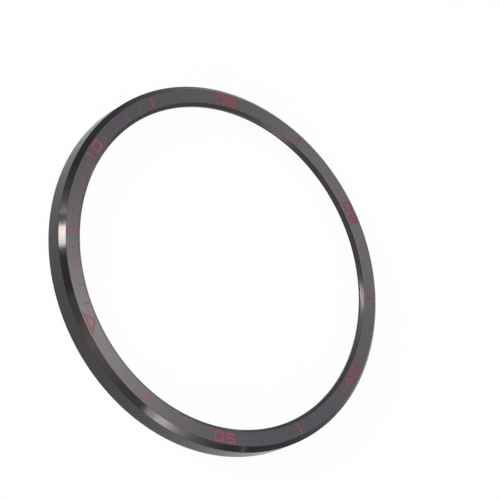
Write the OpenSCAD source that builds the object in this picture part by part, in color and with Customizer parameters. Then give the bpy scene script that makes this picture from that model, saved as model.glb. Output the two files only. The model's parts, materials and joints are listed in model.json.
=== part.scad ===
// Bezel insert for a round watch. A thin lip carries the engraved minute scale and covers
// the watch's bezel, a skirt slips down round the bezel, and a ring of adhesive under the
// lip holds the insert in place. The engraving is filled with red enamel.
// The origin is on the ring's axis at the foot of the skirt. +Z points up through the face
// and minute 0 lies on +Y, so the minutes run clockwise when seen from above.

/* [Ring] */
// Outer diameter of the ring
outer_d = 46; // [30:0.5:60]
// Width of the ring, from its outer edge to the opening
ring_w = 2.7; // [2.4:0.05:4]
// Height from the foot of the skirt to the face
ring_h = 3; // [1.8:0.1:6]
// Thickness of the lip
lip_t = 0.64; // [0.46:0.02:1]
// Thickness of the skirt
skirt_t = 0.55; // [0.4:0.05:1]

/* [Bevels] */
// Radial width of the bevel round the outside of the face
outer_bevel_w = 0.6; // [0.2:0.05:0.85]
// Height of the bevel round the outside of the face
outer_bevel_h = 0.7; // [0.3:0.05:1]
// Radial width of the bevel round the opening
inner_bevel_w = 0.4; // [0.1:0.05:0.45]
// Height of the bevel round the opening
inner_bevel_h = 0.28; // [0.1:0.02:0.44]

/* [Engraving] */
// Depth of the engraving in the face
engraving_depth = 0.12; // [0.06:0.02:0.3]
// How far the enamel lies below the face
enamel_below_face = 0.02; // [0:0.01:0.04]
// Plain band between the marks and each edge of the face
mark_margin = 0.2; // [0.1:0.05:0.35]
// Width of the bars at the odd five minutes
bar_w = 0.3; // [0.1:0.05:0.8]
// Width of the minute ticks
tick_w = 0.18; // [0.06:0.02:0.4]
// Length of the minute ticks
tick_l = 0.75; // [0.2:0.05:1]
// Minute at which the scale of single minutes ends
fine_scale_end = 15; // [5:5:30]
// Width of the triangle at minute 0
triangle_w = 3; // [1.6:0.1:5]
// Line width of the triangle
triangle_line = 0.22; // [0.1:0.01:0.3]

/* [Numerals] */
// Width of one figure
figure_w = 1.35; // [1.2:0.05:1.8]
// Gap between the two figures of a number
figure_gap = 0.34; // [0.1:0.02:0.8]
// Line width of the figures
figure_line = 0.28; // [0.12:0.02:0.3]
// Radius of the figures' outer corners
figure_corner = 0.22; // [0.04:0.02:0.3]
// How far the flag of the 1 reaches out from its stem
one_flag_w = 0.3; // [0.1:0.05:0.4]
// How far the flag of the 1 comes down
one_flag_h = 0.34; // [0.2:0.02:0.5]
// How much closer than other figures the 0 of the 10 stands to its 1
ten_gap_cut = 0.12; // [0:0.02:0.3]
// How far the 10 is drawn back round the ring from its minute
ten_draw_back = 0.16; // [0:0.02:0.3]
// Space to the right of the 4's stem
four_stem_inset = 0.14; // [0:0.02:0.3]
// Height of the 4's crossbar above its foot
four_bar_rise = 0.35; // [0.1:0.05:0.4]

/* [Adhesive] */
// Thickness of the adhesive ring
adhesive_t = 0.12; // [0.05:0.01:0.2]
// Bare band of lip between the opening and the adhesive
adhesive_inset = 0.3; // [0.1:0.05:0.8]
// Gap between the adhesive and the skirt
adhesive_skirt_gap = 0.25; // [0.1:0.05:0.5]

/* [Hidden] */
$fn = 180;
// How far a cutting shape runs past the face
cut_past = 0.1;
degrees_per_minute = 6;

outer_r = outer_d / 2;
opening_r = outer_r - ring_w;
skirt_inner_r = outer_r - skirt_t;
lip_underside = ring_h - lip_t;
face_outer_r = outer_r - outer_bevel_w;
face_inner_r = opening_r + inner_bevel_w;
face_mid_r = (face_outer_r + face_inner_r) / 2;
// The marks all share one height, the width of the face less a plain band on each side
mark_h = face_outer_r - face_inner_r - 2 * mark_margin;
triangle_side = sqrt(pow(triangle_w / 2, 2) + pow(mark_h, 2));
// Radius of the circle that fits inside the triangle
triangle_inner_r = triangle_w * mark_h / (triangle_w + 2 * triangle_side);
one_stem_x = (figure_w - figure_line) / 2;

bar_minutes = [5:10:55];
number_minutes = [10:10:50];
tick_minutes = [for (m = [1:fine_scale_end - 1]) if (m % 5 != 0) m];
figure_words = ["zero", "one", "two", "three", "four", "five"];

function figures(m) = [m / 10, 0];
function bar_name(m) = str("five_minute_bar_", m);
function tick_name(m) = str("minute_tick_", m);
function figure_name(m, figure) = str("numeral_", m, "_", figure_words[figure]);
// The lower numbers are turned round, so that they read upright at the foot of the dial
function reads_inward(m) = m > 15 && m < 45;

// Moves an outline from the centre of a mark to its minute on the face
module at_minute(m) {
  rotate(-degrees_per_minute * m) translate([0, face_mid_r]) children();
}

module bar_outline() {
  square([bar_w, mark_h], center = true);
}

// The tick stands on the same inner circle as the bars
module tick_outline() {
  translate([0, (tick_l - mark_h) / 2]) square([tick_w, tick_l], center = true);
}

// Solid triangle, base outwards and point towards the opening
module triangle_shape() {
  polygon([[-triangle_w / 2, mark_h / 2], [triangle_w / 2, mark_h / 2], [0, -mark_h / 2]]);
}

// A line of even width that leaves a triangle of the face bare inside it
module triangle_outline() {
  centre_y = mark_h / 2 - triangle_inner_r;
  difference() {
    triangle_shape();
    translate([0, centre_y]) scale(1 - triangle_line / triangle_inner_r)
      translate([0, -centre_y]) triangle_shape();
  }
}

// A box with round corners, from the origin
module rounded_box(w, h, r) {
  translate([r, 0]) square([w - 2 * r, h]);
  translate([0, r]) square([w, h - 2 * r]);
  for (x = [r, w - r], y = [r, h - r])
    translate([x, y]) circle(r);
}

// Three level bars, joined by the upright pieces that follow as [x, y, height]
module barred_figure(uprights) {
  intersection() {
    rounded_box(figure_w, mark_h, figure_corner);
    union() {
      for (y = [0, (mark_h - figure_line) / 2, mark_h - figure_line])
        translate([0, y]) square([figure_w, figure_line]);
      for (u = uprights)
        translate([u[0], u[1]]) square([figure_line, u[2]]);
    }
  }
}

module zero_outline() {
  difference() {
    rounded_box(figure_w, mark_h, figure_corner);
    translate([figure_line, figure_line])
      square([figure_w - 2 * figure_line, mark_h - 2 * figure_line]);
  }
}

// The stem stands in the middle of its place, with a slanting flag at its top left
module one_outline() {
  flag_x = one_stem_x - one_flag_w;
  flag_y = mark_h - one_flag_h;
  translate([one_stem_x, 0]) square([figure_line, mark_h]);
  polygon([
    [one_stem_x + figure_line, mark_h],
    [one_stem_x, mark_h],
    [flag_x, flag_y + figure_line / 2],
    [flag_x, flag_y - figure_line / 2],
    [one_stem_x + figure_line, mark_h - figure_line]
  ]);
}

// A stem, a crossbar and a slanting line between them, round a small open triangle
module four_outline() {
  stem_x = figure_w - four_stem_inset - figure_line;
  bar_top = four_bar_rise + figure_line;
  slant = sqrt(pow(stem_x, 2) + pow(mark_h - bar_top, 2));
  difference() {
    union() {
      translate([stem_x, 0]) square([figure_line, mark_h]);
      translate([0, four_bar_rise]) square([figure_w, figure_line]);
      polygon([[0, bar_top], [stem_x, bar_top], [stem_x, mark_h]]);
    }
    polygon([
      [figure_line * slant / (mark_h - bar_top), bar_top],
      [stem_x, bar_top],
      [stem_x, mark_h - figure_line * slant / stem_x]
    ]);
  }
}

// One figure, drawn upright from the lower left corner of its place
module figure_shape(figure) {
  right = figure_w - figure_line;
  half = (mark_h + figure_line) / 2;
  if (figure == 0) zero_outline();
  if (figure == 1) one_outline();
  if (figure == 2) barred_figure([[right, mark_h - half, half], [0, 0, half]]);
  if (figure == 3) barred_figure([[right, 0, mark_h]]);
  if (figure == 4) four_outline();
  if (figure == 5) barred_figure([[0, mark_h - half, half], [right, 0, half]]);
}

// The zero stands to the right of the middle of the number, and the tens to the left
module figure_outline(m, figure) {
  side = figure == 0 ? 1 : -1;
  is_ten = figures(m)[0] == 1;
  closer = is_ten && figure == 0 ? ten_gap_cut : 0;
  draw_back = is_ten ? ten_draw_back : 0;
  left_x = side * (figure_w + figure_gap) / 2 - figure_w / 2 - closer - draw_back;
  rotate(reads_inward(m) ? 180 : 0)
    translate([left_x, -mark_h / 2]) figure_shape(figure);
}

// Cuts an outline into the face
module engraved() {
  translate([0, 0, ring_h - engraving_depth]) linear_extrude(engraving_depth + cut_past) children();
}

// Fills an engraved outline to just below the face
module enamelled() {
  color("#9c3f4b") translate([0, 0, ring_h - engraving_depth])
    linear_extrude(engraving_depth - enamel_below_face) children();
}

// Lip, skirt and bevels in one turned section
module ring_section() {
  polygon([
    [skirt_inner_r, 0],
    [outer_r, 0],
    [outer_r, ring_h - outer_bevel_h],
    [face_outer_r, ring_h],
    [face_inner_r, ring_h],
    [opening_r, ring_h - inner_bevel_h],
    [opening_r, lip_underside],
    [skirt_inner_r, lip_underside]
  ]);
}

module insert_ring() {
  color("#5b5a60") difference() {
    rotate_extrude() ring_section();
    engraved() at_minute(0) triangle_outline();
    for (m = number_minutes, figure = figures(m))
      engraved() at_minute(m) figure_outline(m, figure);
    for (m = bar_minutes)
      engraved() at_minute(m) bar_outline();
    for (m = tick_minutes)
      engraved() at_minute(m) tick_outline();
  }
}

// Double-sided adhesive on the underside of the lip
module adhesive_ring() {
  inner_r = opening_r + adhesive_inset;
  outer_edge_r = skirt_inner_r - adhesive_skirt_gap;
  color("#e4dfd2") translate([0, 0, lip_underside - adhesive_t])
    linear_extrude(adhesive_t) difference() {
      circle(outer_edge_r);
      circle(inner_r);
    }
}

module triangle_marker() {
  enamelled() at_minute(0) triangle_outline();
}

module numeral_figure(m, figure) {
  enamelled() at_minute(m) figure_outline(m, figure);
}

module five_minute_bar(m) {
  enamelled() at_minute(m) bar_outline();
}

module minute_tick(m) {
  enamelled() at_minute(m) tick_outline();
}

insert_ring();
adhesive_ring();
triangle_marker();
for (m = number_minutes, figure = figures(m))
  numeral_figure(m, figure);
for (m = bar_minutes)
  five_minute_bar(m);
for (m = tick_minutes)
  minute_tick(m);
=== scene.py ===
import json
import math

import bmesh
import bpy
from mathutils import Matrix, Vector


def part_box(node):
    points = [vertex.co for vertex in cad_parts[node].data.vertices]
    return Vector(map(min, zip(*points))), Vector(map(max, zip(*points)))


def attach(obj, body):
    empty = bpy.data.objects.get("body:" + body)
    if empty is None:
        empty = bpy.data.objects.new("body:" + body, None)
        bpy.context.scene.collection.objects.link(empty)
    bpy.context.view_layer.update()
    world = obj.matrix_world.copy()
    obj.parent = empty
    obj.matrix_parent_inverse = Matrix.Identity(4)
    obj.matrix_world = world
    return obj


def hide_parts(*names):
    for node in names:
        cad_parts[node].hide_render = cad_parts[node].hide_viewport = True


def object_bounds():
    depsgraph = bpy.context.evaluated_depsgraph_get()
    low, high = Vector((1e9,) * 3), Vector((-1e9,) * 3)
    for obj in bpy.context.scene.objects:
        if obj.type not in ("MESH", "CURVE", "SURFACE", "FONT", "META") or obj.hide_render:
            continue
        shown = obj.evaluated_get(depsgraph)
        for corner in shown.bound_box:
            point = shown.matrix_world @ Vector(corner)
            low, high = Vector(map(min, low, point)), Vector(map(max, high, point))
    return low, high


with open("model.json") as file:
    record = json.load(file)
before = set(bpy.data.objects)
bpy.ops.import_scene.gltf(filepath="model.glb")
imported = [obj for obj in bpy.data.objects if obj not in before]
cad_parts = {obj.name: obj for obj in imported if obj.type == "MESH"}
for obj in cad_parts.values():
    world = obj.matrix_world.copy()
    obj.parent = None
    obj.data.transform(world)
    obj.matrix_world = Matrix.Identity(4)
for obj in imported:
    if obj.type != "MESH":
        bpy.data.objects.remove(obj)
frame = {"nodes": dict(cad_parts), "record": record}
cad_low, cad_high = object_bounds()

# Camera
# A long lens looks down on the ring from beyond minute 0, and is turned on its side, so that
# minute 0 comes nearest and stands at the lower left of the picture.
mm = 0.001
camera_place = Vector((-11.071, 206.586, 263.357)) * mm
camera_aim = Vector((0.695, -6.797, -0.017)) * mm
camera_turn = math.radians(63.181)
sensor_width = 36
focal_length = 198.6
nearest_seen = 10 * mm

camera = bpy.data.objects.new("camera", bpy.data.cameras.new("camera"))
camera.data.sensor_width = sensor_width
camera.data.lens = focal_length
camera.data.clip_start = nearest_seen
level_view = (camera_aim - camera_place).to_track_quat("-Z", "Y").to_matrix()
turned_view = level_view @ Matrix.Rotation(camera_turn, 3, "Z")
camera.matrix_world = Matrix.Translation(camera_place) @ turned_view.to_4x4()
bpy.context.scene.collection.objects.link(camera)
bpy.context.scene.camera = camera
bpy.context.scene.view_settings.view_transform = "Standard"

# Table and room
# A white studio table in a white room. Both show as plain white to the camera and in the
# polished metal, and the table keeps a soft shadow of the ring.
table_size = 3.0
table_gap = 0.01 * mm
room_light = 0.1
table_own_white = 0.96


def linear(colour):
    """An sRGB hex colour as the linear one that a shader takes."""
    parts = [int(colour[i:i + 2], 16) / 255 for i in (1, 3, 5)]
    return [c / 12.92 if c <= 0.04045 else ((c + 0.055) / 1.055) ** 2.4 for c in parts] + [1.0]


def add(tree, kind, settings=None, links=None):
    """Adds a node, sets its properties and sockets by name or number, and links what feeds it."""
    node = tree.nodes.new(kind)
    for key, value in (settings or {}).items():
        if isinstance(key, str) and hasattr(node, key):
            setattr(node, key, value)
        else:
            node.inputs[key].default_value = value
    for key, source in (links or {}).items():
        tree.links.new(source, node.inputs[key])
    return node


def seen_directly(tree):
    """1 for what the camera sees, itself or in a gloss or through glass, and 0 for falling light."""
    path = add(tree, "ShaderNodeLightPath")
    gloss = add(tree, "ShaderNodeMath", {"operation": "MAXIMUM"},
                {0: path.outputs["Is Glossy Ray"], 1: path.outputs["Is Transmission Ray"]})
    seen = add(tree, "ShaderNodeMath", {"operation": "MAXIMUM"},
               {0: path.outputs["Is Camera Ray"], 1: gloss.outputs[0]})
    return seen.outputs[0]


room = bpy.data.worlds.new("white_room")
room.use_nodes = True
tree = room.node_tree
tree.nodes.clear()
falling = add(tree, "ShaderNodeBackground", {"Color": linear("#FFFFFF"), "Strength": room_light})
shown = add(tree, "ShaderNodeBackground", {"Color": linear("#FFFFFF"), "Strength": 1.0})
either = add(tree, "ShaderNodeMixShader", None,
             {0: seen_directly(tree), 1: falling.outputs[0], 2: shown.outputs[0]})
add(tree, "ShaderNodeOutputWorld", None, {"Surface": either.outputs[0]})
bpy.context.scene.world = room

# White laminate: nearly all of what is seen of it is its own even white, so that only the
# deepest part of a shadow shows
table_white = bpy.data.materials.new("white_studio_table")
table_white.use_nodes = True
tree = table_white.node_tree
tree.nodes.clear()
lit = add(tree, "ShaderNodeBsdfDiffuse", {"Color": linear("#F3F4F8")})
own = add(tree, "ShaderNodeEmission", {"Color": linear("#FFFFFF"), "Strength": 1.0})
share = add(tree, "ShaderNodeMath", {"operation": "MULTIPLY", 1: table_own_white},
            {0: seen_directly(tree)})
both = add(tree, "ShaderNodeMixShader", None,
           {0: share.outputs[0], 1: lit.outputs[0], 2: own.outputs[0]})
add(tree, "ShaderNodeOutputMaterial", None, {"Surface": both.outputs[0]})

# The table lies a hair below the ring's foot, so that the two surfaces don't share a plane
bm = bmesh.new()
below_foot = Matrix.Translation((0, 0, -table_gap))
bmesh.ops.create_grid(bm, x_segments=1, y_segments=1, size=table_size / 2, matrix=below_foot)
mesh = bpy.data.meshes.new("table")
bm.to_mesh(mesh)
bm.free()
mesh.materials.append(table_white)
table = bpy.data.objects.new("table", mesh)
bpy.context.scene.collection.objects.link(table)

# Lamps
# Soft boxes round the ring. Each is given by where it stands as seen from the ring, how wide
# and high it looks, and how bright its face is, where 1 is white.
lamp_distance = 0.5


def soft_box(name, azimuth, elevation, width, height, brightness, colour="#FFFFFF", turn=0.0):
    """An area lamp that faces the ring. Its place, width, height and turn are in degrees."""
    lamp = bpy.data.lights.new(name, "AREA")
    lamp.shape = "RECTANGLE"
    lamp.size = 2 * lamp_distance * math.tan(math.radians(width / 2))
    lamp.size_y = 2 * lamp_distance * math.tan(math.radians(height / 2))
    lamp.color = linear(colour)[:3]
    lamp.energy = brightness * math.pi * lamp.size * lamp.size_y
    box = bpy.data.objects.new(name, lamp)
    round_by, up_by = math.radians(azimuth), math.radians(elevation)
    towards = Vector((math.cos(round_by) * math.cos(up_by),
                      math.sin(round_by) * math.cos(up_by),
                      math.sin(up_by)))
    facing = (-towards).to_track_quat("-Z", "Y").to_matrix()
    turned = facing @ Matrix.Rotation(math.radians(turn), 3, "Z")
    box.matrix_world = Matrix.Translation(towards * lamp_distance) @ turned.to_4x4()
    bpy.context.scene.collection.objects.link(box)


# The box overhead lights the face
soft_box("top_box", azimuth=94.0, elevation=103.9, width=14.1, height=40.7, turn=-2.8,
         brightness=6.0, colour="#FFFCE1")
# The small bright box makes the white highlight on the bevel, and its spill the patch beside it
soft_box("key_box", azimuth=40.5, elevation=25.3, width=12.7, height=9.5, turn=-69.1,
         brightness=61.0, colour="#FFFCE3")
soft_box("key_spill", azimuth=21.2, elevation=20.2, width=21.7, height=3.0, turn=-11.7,
         brightness=15.0, colour="#FFFEEE")
# Two boxes at the side make the bevel's second highlight and the glow that leads up to it
soft_box("side_box", azimuth=148.3, elevation=22.8, width=16.2, height=12.6, turn=24.8,
         brightness=11.2, colour="#FFF4DD")
soft_box("low_side_strip", azimuth=163.5, elevation=18.5, width=33.8, height=6.2,
         brightness=10.2, colour="#FEFFEC")
# A hair-thin strip makes the one thin light line across the bevel near minute 49
soft_box("hair_strip", azimuth=190.4, elevation=4.8, width=0.8, height=8.0, brightness=5.0)
# Two strips in front warm the bevel round minute 59
soft_box("warm_strip", azimuth=103.4, elevation=26.2, width=32.8, height=4.0, turn=11.5,
         brightness=3.4, colour="#FFE5BE")
soft_box("wide_strip", azimuth=103.3, elevation=27.0, width=59.7, height=6.4,
         brightness=1.3, colour="#FFFED6")
# Three boxes higher up show in the bevel round the opening
soft_box("high_key_box", azimuth=25.4, elevation=53.4, width=8.2, height=8.5,
         brightness=8.8, colour="#FCFFF7")
soft_box("high_key_glow", azimuth=12.9, elevation=37.0, width=19.8, height=27.1, turn=-35.4,
         brightness=1.3, colour="#F4FFF4")
soft_box("high_side_box", azimuth=169.3, elevation=54.7, width=15.7, height=10.1,
         brightness=2.1, colour="#FEFFF7")
# Two boxes low at the back brighten the near half of that bevel
soft_box("back_box", azimuth=-88.1, elevation=8.4, width=58.4, height=15.2,
         brightness=0.85, colour="#FFE0F2")
soft_box("horizon_strip", azimuth=-103.9, elevation=3.6, width=13.6, height=5.4, brightness=4.4)

# Insert ring
# One piece of stainless steel, turned to an L-shaped section, with the scale engraved in its
# face. The face is finely brushed round the axis and the bevels are polished, and then all of
# it gets one hard, nearly black vapour-deposited coating.

# Sizes are in millimetres from here on
ring_w = 2.7
outer_bevel_w = 0.6
outer_bevel_h = 0.7
inner_bevel_w = 0.4
inner_bevel_h = 0.28
edge_rounding = 0.03
opening_rounding = 0.15
cut_past = 0.1
round_steps = 360
corner_from = math.radians(20)
sharp_from = math.radians(50)
# Corners closer together than this are one corner
same_place = 1e-4
# A full spin comes back to within this of where it began
same_circle = 1e-3
# What part of a surface's normal points the way that the surface mainly or partly faces
mainly = 0.9
partly = 0.3
# The weight at which a smooth normal follows the larger of two faces altogether
larger_face_only = 100
face_finish, outer_bevel_finish, inner_bevel_finish, wall_finish, inside_finish = range(5)


def mount(name):
    """One of the places where the part meets the watch."""
    return next(m for m in frame["record"]["mounts"] if m["name"] == name)


outer_r = cad_high.x / mm
ring_h = cad_high.z / mm
opening_r = outer_r - ring_w
skirt_inner_r = mount("bezel_socket")["dims"]["r_mm"]
lip_underside = mount("bezel_socket")["dims"]["length_mm"]
enamel_names = sorted(n for n in frame["nodes"] if n not in ("insert_ring", "adhesive_ring"))


def turn_on_lathe(section):
    """A bmesh, in millimetres, of a closed section of (radius, height) corners spun round."""
    bm = bmesh.new()
    corners = [bm.verts.new((r, 0, z)) for r, z in section]
    edges = [bm.edges.new(pair) for pair in zip(corners, corners[1:] + corners[:1])]
    bmesh.ops.spin(bm, geom=corners + edges, cent=(0, 0, 0), axis=(0, 0, 1), angle=math.tau,
                   steps=round_steps, use_merge=True)
    bmesh.ops.remove_doubles(bm, verts=bm.verts, dist=same_place)
    bmesh.ops.recalc_face_normals(bm, faces=bm.faces)
    return bm


def goes_round(edge):
    """Whether an edge runs round the axis, with both its ends at one place in the section."""
    start, end = (Vector((v.co.xy.length, v.co.z)) for v in edge.verts)
    return (start - end).length < same_circle


def round_edges(bm, width, segments):
    """Rounds each corner of the section, all the way round the axis."""
    round_ones = [e for e in bm.edges if goes_round(e) and e.calc_face_angle() > corner_from]
    bmesh.ops.bevel(bm, geom=round_ones, offset=width, affect="EDGES", segments=segments,
                    profile=0.5, material=-1)


def rounded_corner(before, corner, after, radius, steps):
    """The points of an arc that takes the place of one corner of a section."""
    corner = Vector(corner)
    back, on = (Vector(before) - corner).normalized(), (Vector(after) - corner).normalized()
    half = back.angle(on) / 2
    middle = corner + (back + on).normalized() * radius / math.sin(half)
    first = (corner + back * radius / math.tan(half) - middle).normalized()
    last = (corner + on * radius / math.tan(half) - middle).normalized()
    return [tuple(middle + first.slerp(last, i / steps) * radius) for i in range(steps + 1)]


def to_piece(bm, name, materials):
    """Turns a bmesh into a piece, still in millimetres."""
    mesh = bpy.data.meshes.new(name)
    bm.to_mesh(mesh)
    bm.free()
    for material in materials:
        mesh.materials.append(material)
    mesh.shade_smooth()
    piece = bpy.data.objects.new(name, mesh)
    bpy.context.scene.collection.objects.link(piece)
    return piece


def apply_modifiers(piece):
    """Makes what the modifiers give the piece's own mesh."""
    depsgraph = bpy.context.evaluated_depsgraph_get()
    made = bpy.data.meshes.new_from_object(piece.evaluated_get(depsgraph))
    piece.modifiers.clear()
    piece.data = made


def finish_piece(piece):
    """Keeps flat faces flat and cut edges sharp, and goes from millimetres to metres."""
    mesh = piece.data
    if "custom_normal" in mesh.attributes:
        mesh.attributes.remove(mesh.attributes["custom_normal"])
    bm = bmesh.new()
    bm.from_mesh(mesh)
    for edge in bm.edges:
        edge.smooth = edge.calc_face_angle(0) < sharp_from
    bm.to_mesh(mesh)
    bm.free()
    weigh = piece.modifiers.new("weigh", "WEIGHTED_NORMAL")
    weigh.keep_sharp = True
    weigh.weight = larger_face_only
    apply_modifiers(piece)
    piece.data.transform(Matrix.Scale(mm, 4))


def radius_and_place(tree):
    """Each point's distance from the axis, and its x, y and z."""
    place = add(tree, "ShaderNodeTexCoord").outputs["Object"]
    parts = add(tree, "ShaderNodeSeparateXYZ", None, {0: place})
    level = add(tree, "ShaderNodeVectorMath", {"operation": "MULTIPLY", 1: (1, 1, 0)}, {0: place})
    radius = add(tree, "ShaderNodeVectorMath", {"operation": "LENGTH"}, {0: level.outputs[0]})
    return radius.outputs["Value"], parts.outputs


def counted(tree, length, unit):
    """A length of the piece as a number of units, each so many millimetres."""
    times = add(tree, "ShaderNodeMath", {"operation": "MULTIPLY", 1: 1 / (unit * mm)}, {0: length})
    return times.outputs[0]


def turning_lines(tree, pitch, run):
    """Lines round the axis, pitch mm apart, from 0 to 1, that change over run mm of their length."""
    radius, place = radius_and_place(tree)
    point = add(tree, "ShaderNodeCombineXYZ", None,
                {0: counted(tree, radius, pitch), 1: counted(tree, place["Z"], pitch),
                 2: counted(tree, place["X"], run)})
    lines = add(tree, "ShaderNodeTexNoise",
                {"noise_dimensions": "4D", "Scale": 1.0, "Detail": 3.0, "Roughness": 0.6},
                {"Vector": point.outputs[0], "W": counted(tree, place["Y"], run)})
    return lines.outputs["Fac"]


# The distance from one tool mark to the next
tool_mark_pitch = 0.03
# Height counts this many times, so that the marks cross the flats, the walls and both bevels
height_counts = 3.0


def tool_marks(tree, crest_share):
    """0 on the smooth crest of each tool mark, crest_share of it, and 1 in its rougher groove."""
    radius, place = radius_and_place(tree)
    along = add(tree, "ShaderNodeMath", {"operation": "MULTIPLY_ADD", 1: height_counts},
                {0: place["Z"], 2: radius})
    within = add(tree, "ShaderNodeMath", {"operation": "FRACT"},
                 {0: counted(tree, along.outputs[0], tool_mark_pitch)})
    groove = add(tree, "ShaderNodeMath", {"operation": "GREATER_THAN", 1: crest_share},
                 {0: within.outputs[0]})
    return groove.outputs[0]


# The size of the patches over which the coating's tone drifts
tone_patch = 6
# A quarter turn of the gloss, which draws a highlight out across the lines and not along them
across_lines = 0.25


def coated_steel(name, colours, edge, crest, groove, crest_share, brushing,
                 line_pitch, line_run, line_depth, grain, grain_depth):
    """The black coating over steel prepared as the arguments say. Sizes are in millimetres."""
    material = bpy.data.materials.new(name)
    material.use_nodes = True
    tree = material.node_tree
    shader = tree.nodes["Principled BSDF"]
    shader.inputs["Metallic"].default_value = 1.0
    shader.inputs["Specular Tint"].default_value = linear(edge)
    shader.inputs["Anisotropic"].default_value = brushing
    shader.inputs["Anisotropic Rotation"].default_value = across_lines
    round_axis = add(tree, "ShaderNodeTangent", {"direction_type": "RADIAL", "axis": "Z"})
    tree.links.new(round_axis.outputs[0], shader.inputs["Tangent"])

    # The film's thickness varies by a little over some millimetres, which shifts its tone
    place = add(tree, "ShaderNodeTexCoord").outputs["Object"]
    drift = add(tree, "ShaderNodeTexNoise", {"Scale": 1 / (tone_patch * mm), "Detail": 1.0},
                {"Vector": place})
    tone = add(tree, "ShaderNodeMix",
               {"data_type": "RGBA", 6: linear(colours[0]), 7: linear(colours[1])},
               {0: drift.outputs["Fac"]})
    tree.links.new(tone.outputs[2], shader.inputs["Base Color"])

    # Crests and grooves are too fine to see one by one, and give a clear reflection in a softer one
    gloss = add(tree, "ShaderNodeMapRange", {3: crest, 4: groove}, {0: tool_marks(tree, crest_share)})
    tree.links.new(gloss.outputs[0], shader.inputs["Roughness"])

    # The lines and the grain are drawn a few times coarser than real ones, which wouldn't show
    fine = add(tree, "ShaderNodeTexNoise", {"Scale": 1 / (grain * mm), "Detail": 2.0},
               {"Vector": place})
    grit = add(tree, "ShaderNodeBump", {"Strength": 1.0, "Distance": grain_depth * mm},
               {"Height": fine.outputs["Fac"]})
    ridges = add(tree, "ShaderNodeBump", {"Strength": 1.0, "Distance": line_depth * mm},
                 {"Height": turning_lines(tree, line_pitch, line_run), "Normal": grit.outputs[0]})
    tree.links.new(ridges.outputs[0], shader.inputs["Normal"])
    return material


# The face: soft, even grey that brightens slowly towards the light overhead
brushed = coated_steel("brushed_black_coating", ("#4A484F", "#46444B"), edge="#F9F9F9",
                       crest=0.291, groove=0.334, crest_share=0.83, brushing=0.69,
                       line_pitch=0.12, line_run=12, line_depth=0.0003,
                       grain=0.12, grain_depth=0.0004)
# The outer bevel: black, with crisp highlights drawn out across it by the polishing
polished = coated_steel("polished_black_coating", ("#2D2C30", "#29282C"), edge="#E7E7E7",
                        crest=0.13, groove=0.216, crest_share=0.72, brushing=0.66,
                        line_pitch=0.12, line_run=14, line_depth=0.0001,
                        grain=0.2, grain_depth=0.0)
# The bevel round the opening: nearly as glossy, with faint marks of the cutter left in it
chamfered = coated_steel("chamfered_black_coating", ("#413D3F", "#3D393B"), edge="#FFFFFF",
                         crest=0.168, groove=0.268, crest_share=0.95, brushing=0.42,
                         line_pitch=0.1, line_run=6, line_depth=0.0001,
                         grain=0.2, grain_depth=0.0001)
# The wall: a satin dark grey that catches the white table, with turning lines just visible
satin = coated_steel("satin_black_coating", ("#444345", "#403F41"), edge="#FDFDFD",
                     crest=0.152, groove=0.459, crest_share=0.64, brushing=0.74,
                     line_pitch=0.12, line_run=8, line_depth=0.0004,
                     grain=0.15, grain_depth=0.0002)
# The inside and the engraving: left as cut, and so duller and more ridged than the rest
plain = coated_steel("plain_black_coating", ("#3A393C", "#353437"), edge="#E9E9E9",
                     crest=0.3, groove=0.5, crest_share=0.5, brushing=0.6,
                     line_pitch=0.2, line_run=12, line_depth=0.0008,
                     grain=0.15, grain_depth=0.0006)

face_edge = (opening_r + inner_bevel_w, ring_h)
opening_edge = (opening_r, ring_h - inner_bevel_h)
lip_edge = (opening_r, lip_underside)
ring_section = [
    (skirt_inner_r, 0),
    (outer_r, 0),
    (outer_r, ring_h - outer_bevel_h),
    (outer_r - outer_bevel_w, ring_h),
    face_edge,
    *rounded_corner(face_edge, opening_edge, lip_edge, opening_rounding, steps=6),
    lip_edge,
    (skirt_inner_r, lip_underside),
]
bm = turn_on_lathe(ring_section)
for face in bm.faces:
    middle = face.calc_center_median()
    outward = face.normal.xy.dot(middle.xy.normalized())
    if face.normal.z > mainly:
        face.material_index = face_finish
    elif outward < 0 and middle.xy.length < opening_r + inner_bevel_w:
        face.material_index = inner_bevel_finish
    elif face.normal.z > partly:
        face.material_index = outer_bevel_finish
    elif outward > mainly:
        face.material_index = wall_finish
    else:
        face.material_index = inside_finish
round_edges(bm, edge_rounding, segments=4)
ring = to_piece(bm, "insert_ring_turned", [])

# The engraving is cut with the outlines of the enamel that fills it, carried up past the face
cutter_bm = bmesh.new()
for name in enamel_names:
    cutter_bm.from_mesh(frame["nodes"][name].data)
bmesh.ops.scale(cutter_bm, vec=(1 / mm,) * 3, verts=cutter_bm.verts)
bmesh.ops.remove_doubles(cutter_bm, verts=cutter_bm.verts, dist=same_place)
enamel_middle = (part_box("triangle_marker")[0].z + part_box("triangle_marker")[1].z) / 2 / mm
upper = [v for v in cutter_bm.verts if v.co.z > enamel_middle]
bmesh.ops.translate(cutter_bm, vec=(0, 0, cut_past), verts=upper)
for face in cutter_bm.faces:
    face.material_index = inside_finish
cutter = to_piece(cutter_bm, "engraving_cutter", [])

for material in (brushed, polished, chamfered, satin, plain):
    ring.data.materials.append(material)
    cutter.data.materials.append(material)
engraving = ring.modifiers.new("engraving", "BOOLEAN")
engraving.operation = "DIFFERENCE"
engraving.solver = "EXACT"
engraving.object = cutter
apply_modifiers(ring)
bpy.data.objects.remove(cutter)
finish_piece(ring)

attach(ring, "root")
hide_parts("insert_ring")

# Adhesive ring
# A die-cut ring of double-sided adhesive film on the underside of the lip. It is a pale,
# slightly cloudy film with cleanly cut edges.
film_edge_rounding = 0.02
cloud_size = 1.5
ripple_depth = 0.004
adhesive_low, adhesive_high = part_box("adhesive_ring")
adhesive_outer_r = adhesive_high.y / mm
# The mount is in the middle of the film's width
adhesive_inner_r = 2 * mount("adhesive_face")["pos_m"][1] / mm - adhesive_outer_r
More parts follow.
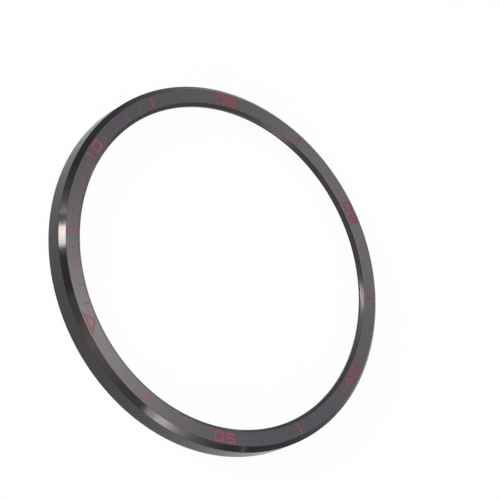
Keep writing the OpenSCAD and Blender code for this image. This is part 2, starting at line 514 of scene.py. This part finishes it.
# Nearly all of a noise pattern lies between these two values
noise_low, noise_high = 0.3, 0.7

# Acrylic adhesive film: milky, with soft clouds and a faint ripple that breaks up its sheen
film = bpy.data.materials.new("cloudy_adhesive_film")
film.use_nodes = True
tree = film.node_tree
shader = tree.nodes["Principled BSDF"]
place = add(tree, "ShaderNodeTexCoord").outputs["Object"]
clouds = add(tree, "ShaderNodeTexNoise", {"Scale": 1 / (cloud_size * mm), "Detail": 3.0},
             {"Vector": place})
tone = add(tree, "ShaderNodeMix",
           {"data_type": "RGBA", 6: linear("#DCD7CA"), 7: linear("#EAE6DC")},
           {0: clouds.outputs["Fac"]})
tree.links.new(tone.outputs[2], shader.inputs["Base Color"])
gloss = add(tree, "ShaderNodeMapRange", {1: noise_low, 2: noise_high, 3: 0.35, 4: 0.5},
            {0: clouds.outputs["Fac"]})
tree.links.new(gloss.outputs[0], shader.inputs["Roughness"])
ripple = add(tree, "ShaderNodeBump", {"Strength": 1.0, "Distance": ripple_depth * mm},
             {"Height": clouds.outputs["Fac"]})
tree.links.new(ripple.outputs[0], shader.inputs["Normal"])

film_section = [
    (adhesive_inner_r, adhesive_low.z / mm),
    (adhesive_outer_r, adhesive_low.z / mm),
    (adhesive_outer_r, adhesive_high.z / mm),
    (adhesive_inner_r, adhesive_high.z / mm),
]
bm = turn_on_lathe(film_section)
round_edges(bm, film_edge_rounding, segments=2)
adhesive = to_piece(bm, "adhesive_ring_film", [film])
finish_piece(adhesive)
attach(adhesive, "root")
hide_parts("adhesive_ring")

# Enamel
# Dull crimson enamel, filled into each engraved shape and rubbed level, so that it lies a
# little below the face. It is glassy enough for the steel under it to shine through a little.
steel_shining_through = 0.28
mottle_size = 0.4
pit_size = 0.1
pit_depth = 0.001

# Rubbed enamel: a deep red that varies by a little, with a soft and slightly pitted gloss
enamel = bpy.data.materials.new("rubbed_crimson_enamel")
enamel.use_nodes = True
tree = enamel.node_tree
shader = tree.nodes["Principled BSDF"]
shader.inputs["Metallic"].default_value = steel_shining_through
place = add(tree, "ShaderNodeTexCoord").outputs["Object"]
mottle = add(tree, "ShaderNodeTexNoise", {"Scale": 1 / (mottle_size * mm), "Detail": 2.0},
             {"Vector": place})
tone = add(tree, "ShaderNodeMix",
           {"data_type": "RGBA", 6: linear("#6A2233"), 7: linear("#742A3B")},
           {0: mottle.outputs["Fac"]})
tree.links.new(tone.outputs[2], shader.inputs["Base Color"])
gloss = add(tree, "ShaderNodeMapRange", {1: noise_low, 2: noise_high, 3: 0.28, 4: 0.38},
            {0: mottle.outputs["Fac"]})
tree.links.new(gloss.outputs[0], shader.inputs["Roughness"])
pits = add(tree, "ShaderNodeTexNoise", {"Scale": 1 / (pit_size * mm), "Detail": 2.0},
           {"Vector": place})
skin = add(tree, "ShaderNodeBump", {"Strength": 1.0, "Distance": pit_depth * mm},
           {"Height": pits.outputs["Fac"]})
tree.links.new(skin.outputs[0], shader.inputs["Normal"])
for name in enamel_names:
    mesh = frame["nodes"][name].data
    mesh.materials.clear()
    mesh.materials.append(enamel)
